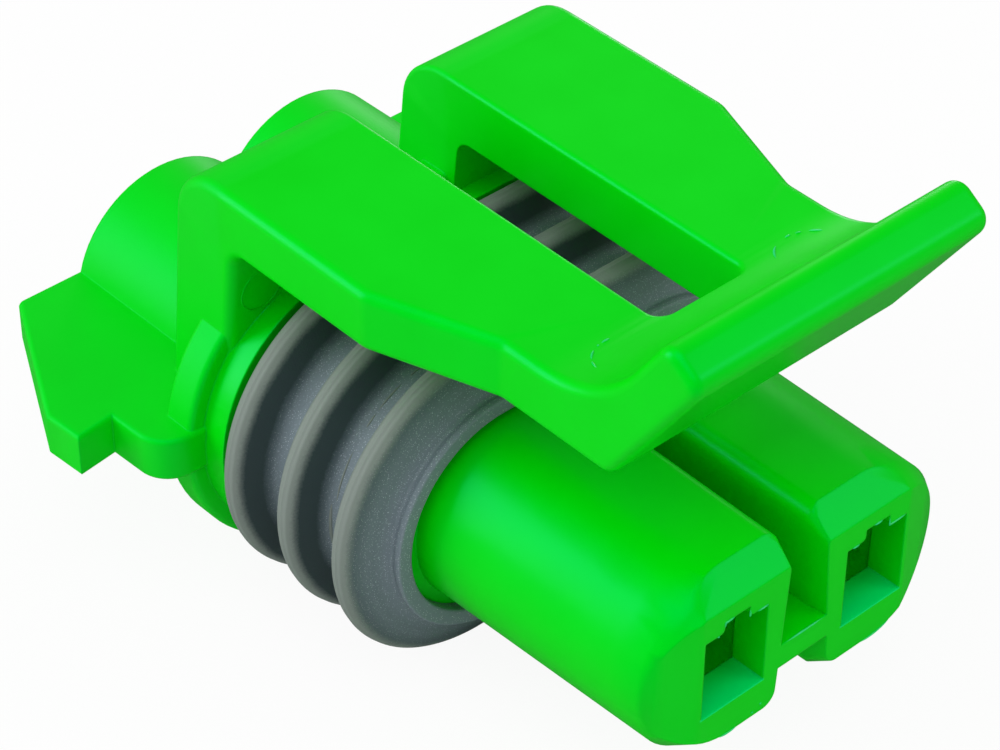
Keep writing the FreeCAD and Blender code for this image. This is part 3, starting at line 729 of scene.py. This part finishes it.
def path_mesh(name, paths):
    """Paths as chains of edges; one that ends where it starts is closed."""
    points, edges = [], []
    for path in paths:
        first = len(points)
        closed = (Vector(path[0]) - Vector(path[-1])).length < SAME_PLACE
        kept = path[:-1] if closed else path
        points += [tuple(point) for point in kept]
        edges += [(first + i, first + i + 1) for i in range(len(kept) - 1)]
        if closed:
            edges.append((len(points) - 1, first))
    mesh = bpy.data.meshes.new(name)
    mesh.from_pydata(points, edges, [])
    return mesh


def raised_lines(name, paths, material, radius, gaps=0.0, taper=0.0):
    """Thin lines along paths, grown as one piece."""
    return grown(name, path_mesh(name, paths), "Raised line", raised_line_tree, {
        "Radius": radius, "Gaps": gaps, "Taper": taper, "Material": material})


def arc(centre, radius, start, end, steps=24):
    """Offsets round a centre, from one angle to another in degrees."""
    for k in range(steps + 1):
        turn = math.radians(start + (end - start) * k / steps)
        yield centre[0] + radius * math.cos(turn), centre[1] + radius * math.sin(turn)


def flash_paths(look, skin):
    """Edges that carry thin flash with a painted glint: at the mating face, and round the pins'
    marks on the lip.
    """
    paths = []
    for centre in (-look.way_centre, look.way_centre):
        top, notch = look.window_rise, look.window_rise + look.keyway_rise
        paths.append([(centre + x, 0.0, z) for x, z in (
            (-look.window_half, top), (-look.keyway_half, top), (-look.keyway_half, notch),
            (look.keyway_half, notch), (look.keyway_half, top), (look.window_half, top))])
        paths.append([(x, 0.0, z) for x, z in arc((centre, 0.0), look.nose_radius,
                                                    *NOSE_FLASH_ARC)])
    paths.append([(-look.web_half, 0.0, -look.web_drop), (look.web_half, 0.0, -look.web_drop)])
    for side in (-1, 1):
        mark = arc((side * look.lip_pin_x, look.lip_pin_y), look.lip_pin_radius, *LIP_MARK_ARC)
        paths.append([skin.ray_cast((x, y, look.lip_pin_top), (0, 0, -1))[0] for x, y in mark])
    return paths


def pin_paths(look, skin):
    """Ejector pins' marks on the latch's legs."""
    paths = []
    for side in (-1, 1):
        ring = arc((side * look.pin_x, look.pin_z), look.pin_radius, 0, 360)
        paths.append([skin.ray_cast((x, look.pin_front, z), (0, 1, 0))[0] for x, z in ring])
    return paths


class CONNECTOR_OT_ring_seal(bpy.types.Operator):
    """Ribbed ring seal round the housing's waist"""

    bl_idname = "connector.ring_seal"
    bl_label = "Ring seal"

    def execute(self, context):
        look = context.scene.connector_ring_seal
        rubber = rubber_with_painted_shade("Ring seal rubber", look)
        seat, edge = look.seat_radius, look.edge_round
        corners = [
            (seat, look.front, edge), (look.lip_radius, look.front, edge),
            (look.lip_radius, look.front + look.lip_width, edge),
            (look.valley_radius, look.front + look.valley_run, edge * 2),
        ]
        for k in range(look.rib_count):
            rib = rib_corners(look.first_rib + k * look.rib_pitch, look.groove_radius,
                              look.crest_radius, look.crest_round, look.flank_run, look.foot_round,
                              look.flash_height, look.flash_width)
            corners += rib[1:] if k == 0 else rib
        corners += [(look.groove_radius, look.rear, edge), (seat, look.rear, edge)]
        outline = [Vector((p.x - seat, p.y)) for p in rounded_outline(corners)]
        made = sweep_seal("ring_seal", outline, rubber, look, look.half_flat, seat,
                          look.groove_radius, look.crest_radius)
        settle(made, "ring_seal", "interface_seal")
        end = (-look.half_flat, 0.0)
        seam = [(x, look.seam_y, z) for x, z in arc(end, look.groove_radius, *SEAM_ARC)]
        settle(raised_lines("seal_seam", [seam], rubber, look.seam_radius, look.seam_gaps,
                            taper=1.0), "ring_seal")
        first_bar = look.seam_y + look.bars_gap
        bars = [[(x, y, z) for x, z in arc(end, look.groove_radius, *BARS_ARC)]
                for y in (first_bar, first_bar + look.bars_pitch)]
        settle(raised_lines("seal_bars", bars, rubber, look.bar_radius, taper=1.0), "ring_seal")
        return {"FINISHED"}


class CONNECTOR_OT_cable_seals(bpy.types.Operator):
    """Ribbed plug with a wire hole in each cable tube"""

    bl_idname = "connector.cable_seals"
    bl_label = "Cable seals"

    def execute(self, context):
        look = context.scene.connector_cable_seal
        rubber = rubber_with_painted_shade("Cable seal rubber", look)
        front, rear = PLUG_LOW.y, PLUG_HIGH.y
        pitch = (rear - front) / look.rib_count
        hole = look.hole_radius
        corners = [(hole, front, look.edge_round), (look.core_radius, front, look.edge_round)]
        for k in range(look.rib_count):
            corners += rib_corners(front + (k + 0.5) * pitch, look.core_radius, look.rib_radius,
                                   look.crest_round, look.flank_run, look.edge_round)
        corners += [(look.core_radius, rear, look.edge_round), (hole, rear, look.edge_round)]
        outline = [Vector((p.x - hole, p.y)) for p in rounded_outline(corners, steps=4)]
        for way in WAYS:
            node = "cable_seal_" + way
            low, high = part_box(node)
            made = sweep_seal("plug_" + way, outline, rubber, look, 0.0, hole,
                              look.core_radius, look.rib_radius)
            made.data.transform(Matrix.Translation(((low.x + high.x) / 2, 0.0, 0.0)))
            settle(made, "cable_seal", node)
        return {"FINISHED"}


class CONNECTOR_OT_housing(bpy.types.Operator):
    """Green housing with its latch, wings, towers and cable tubes"""

    bl_idname = "connector.housing"
    bl_label = "Housing"

    def execute(self, context):
        look = context.scene.connector_housing
        green = green_plastic(look)
        mesh = merged_copy("housing")
        mesh.materials.append(green)
        mesh.shade_smooth()
        mesh.set_sharp_from_angle(angle=look.crease)
        made = link_object("moulding", mesh)
        weighted = made.modifiers.new("Face weighted normals", "WEIGHTED_NORMAL")
        weighted.mode = "FACE_AREA"
        weighted.keep_sharp = True
        settle(made, "housing", "housing")
        skin = BVHTree.FromPolygons([v.co for v in mesh.vertices],
                                    [p.vertices for p in mesh.polygons])
        # Flash lines and lip marks in the paler green of a painted glint.
        settle(raised_lines("flash", flash_paths(look, skin), flash_with_painted_glint(look), look.flash_radius,
                            look.flash_gaps, taper=1.0), "housing")
        settle(raised_lines("pin_marks", pin_paths(look, skin), green, look.line_radius), "housing")
        return {"FINISHED"}


class CONNECTOR_OT_contacts(bpy.types.Operator):
    """Stamped socket contact behind each window"""

    bl_idname = "connector.contacts"
    bl_label = "Contacts"

    def execute(self, context):
        look = context.scene.connector_contact
        metal = plated_metal(look)
        for way in WAYS:
            node = "contact_" + way
            mesh = merged_copy(node)
            mesh.materials.append(metal)
            made = link_object("terminal_" + way, mesh)
            fold = made.modifiers.new("Edge round", "BEVEL")
            fold.width = look.edge_round
            fold.segments = 2
            fold.limit_method = "ANGLE"
            settle(made, "contact", node)
        return {"FINISHED"}


# Stage

def white_surface(name, look):
    """Matt surface that goes towards white for the camera and is dark in reflections."""
    material, tree, shader = surface(name, Base_Color=rgba(look.floor), Roughness=0.9)
    rays = add(tree, "ShaderNodeLightPath").outputs
    seen = calc(tree, "MAXIMUM", rays["Is Camera Ray"], rays["Is Transmission Ray"])
    seen = calc(tree, "MAXIMUM", seen, rays["Is Glossy Ray"])
    level = ramp(tree, rays["Is Glossy Ray"], 0.0, 1.0, 1.0, look.gloss_white)
    glow = add(tree, "ShaderNodeEmission", {"Color": WHITE, "Strength": level})
    both = add(tree, "ShaderNodeMixShader", {
        0: calc(tree, "MULTIPLY", seen, look.floor_white), 1: shader.outputs[0],
        2: glow.outputs[0]})
    output = next(n for n in tree.nodes if n.type == "OUTPUT_MATERIAL")
    tree.links.new(both.outputs[0], output.inputs["Surface"])
    return material


def softbox(name, place, width, height, power):
    """Flat lamp aimed at the connector, with its power in watts."""
    lamp = bpy.data.lights.new(name, "AREA")
    lamp.energy = power
    lamp.shape = "RECTANGLE"
    lamp.size = width
    lamp.size_y = height
    made = bpy.data.objects.new(name, lamp)
    bpy.context.scene.collection.objects.link(made)
    made.location = place
    middle = (CAD_BOX[0] + CAD_BOX[1]) / 2
    made.rotation_euler = (middle - Vector(place)).to_track_quat("-Z", "Y").to_euler()


def studio_world(look):
    """Surroundings that are white to the camera, dark in reflections and an even light."""
    world = bpy.data.worlds.new("Studio")
    bpy.context.scene.world = world
    world.use_nodes = True
    tree = world.node_tree
    tree.nodes.clear()
    rays = add(tree, "ShaderNodeLightPath").outputs
    seen = calc(tree, "MAXIMUM", rays["Is Camera Ray"], rays["Is Transmission Ray"])
    unseen = ramp(tree, rays["Is Glossy Ray"], 0.0, 1.0, look.world_level, look.gloss_white)
    strength = ramp(tree, seen, 0.0, 1.0, unseen, 1.0)
    glow = add(tree, "ShaderNodeBackground", {"Color": WHITE, "Strength": strength})
    add(tree, "ShaderNodeOutputWorld", {"Surface": glow.outputs[0]})


def photo_camera(look):
    """Camera at the picture's own angle, found from the picture's edges."""
    data = bpy.data.cameras.new("Camera")
    data.lens = look.focal / PHOTO_SIZE[0] * data.sensor_width
    data.clip_start = 1 * MM
    made = bpy.data.objects.new("Camera", data)
    bpy.context.scene.collection.objects.link(made)
    a, e, r = look.azimuth, look.elevation, look.roll
    back = Vector((math.sin(a) * math.cos(e), -math.cos(a) * math.cos(e), math.sin(e)))
    level_right = Vector((math.cos(a), math.sin(a), 0.0))
    level_up = back.cross(level_right)
    right = level_right * math.cos(r) + level_up * math.sin(r)
    up = level_up * math.cos(r) - level_right * math.sin(r)
    across = (look.centre_u - PHOTO_SIZE[0] / 2) / look.focal * look.distance
    above = (PHOTO_SIZE[1] / 2 - look.centre_v) / look.focal * look.distance
    place = back * look.distance - right * across - up * above
    made.matrix_world = Matrix((
        (right.x, up.x, back.x, place.x), (right.y, up.y, back.y, place.y),
        (right.z, up.z, back.z, place.z), (0.0, 0.0, 0.0, 1.0)))
    bpy.context.scene.camera = made


class CONNECTOR_OT_stage(bpy.types.Operator):
    """Pale floor, soft lamps and the camera at the picture's angle"""

    bl_idname = "connector.stage"
    bl_label = "Stage"

    def execute(self, context):
        look = context.scene.connector_stage
        mesh = bpy.data.meshes.new("floor")
        corners = ((-1, -1), (1, -1), (1, 1), (-1, 1))
        mesh.from_pydata([(x * FLOOR_HALF, y * FLOOR_HALF, FLOOR_LEVEL) for x, y in corners],
                         [], [(0, 1, 2, 3)])
        mesh.materials.append(white_surface("Pale floor", look))
        link_object("floor", mesh)
        studio_world(look)
        softbox("Back softbox", *BACK_BOX, look.back_power)
        softbox("Far softbox", *FAR_BOX, look.far_power)
        softbox("Front softbox", *FRONT_BOX, look.front_power)
        softbox("Fill softbox", *FILL_BOX, look.fill_power)
        photo_camera(look)
        context.scene.view_settings.view_transform = "Standard"
        return {"FINISHED"}


class CONNECTOR_PT_pieces(bpy.types.Panel):
    """Lists the connector's pieces"""

    bl_idname = "CONNECTOR_PT_pieces"
    bl_label = "Sealed connector"
    bl_space_type = "VIEW_3D"
    bl_region_type = "UI"
    bl_category = "Connector"

    def draw(self, context):
        for piece in PIECES:
            self.layout.operator(piece.bl_idname)


PIECES = (CONNECTOR_OT_housing, CONNECTOR_OT_ring_seal, CONNECTOR_OT_cable_seals,
          CONNECTOR_OT_contacts, CONNECTOR_OT_stage)
SETTINGS = {"connector_housing": HousingSettings, "connector_ring_seal": RingSealSettings,
            "connector_cable_seal": CableSealSettings, "connector_contact": ContactSettings,
            "connector_stage": StageSettings}


def register():
    for settings in SETTINGS.values():
        bpy.utils.register_class(settings)
    for name, settings in SETTINGS.items():
        setattr(bpy.types.Scene, name, PointerProperty(type=settings))
    for piece in (*PIECES, CONNECTOR_PT_pieces):
        bpy.utils.register_class(piece)


def unregister():
    for piece in (CONNECTOR_PT_pieces, *reversed(PIECES)):
        bpy.utils.unregister_class(piece)
    for name in SETTINGS:
        delattr(bpy.types.Scene, name)
    for settings in reversed(SETTINGS.values()):
        bpy.utils.unregister_class(settings)


def main():
    register()
    bpy.ops.connector.housing()
    bpy.ops.connector.ring_seal()
    bpy.ops.connector.cable_seals()
    bpy.ops.connector.contacts()
    bpy.ops.connector.stage()


if __name__ == "__main__":
    main()
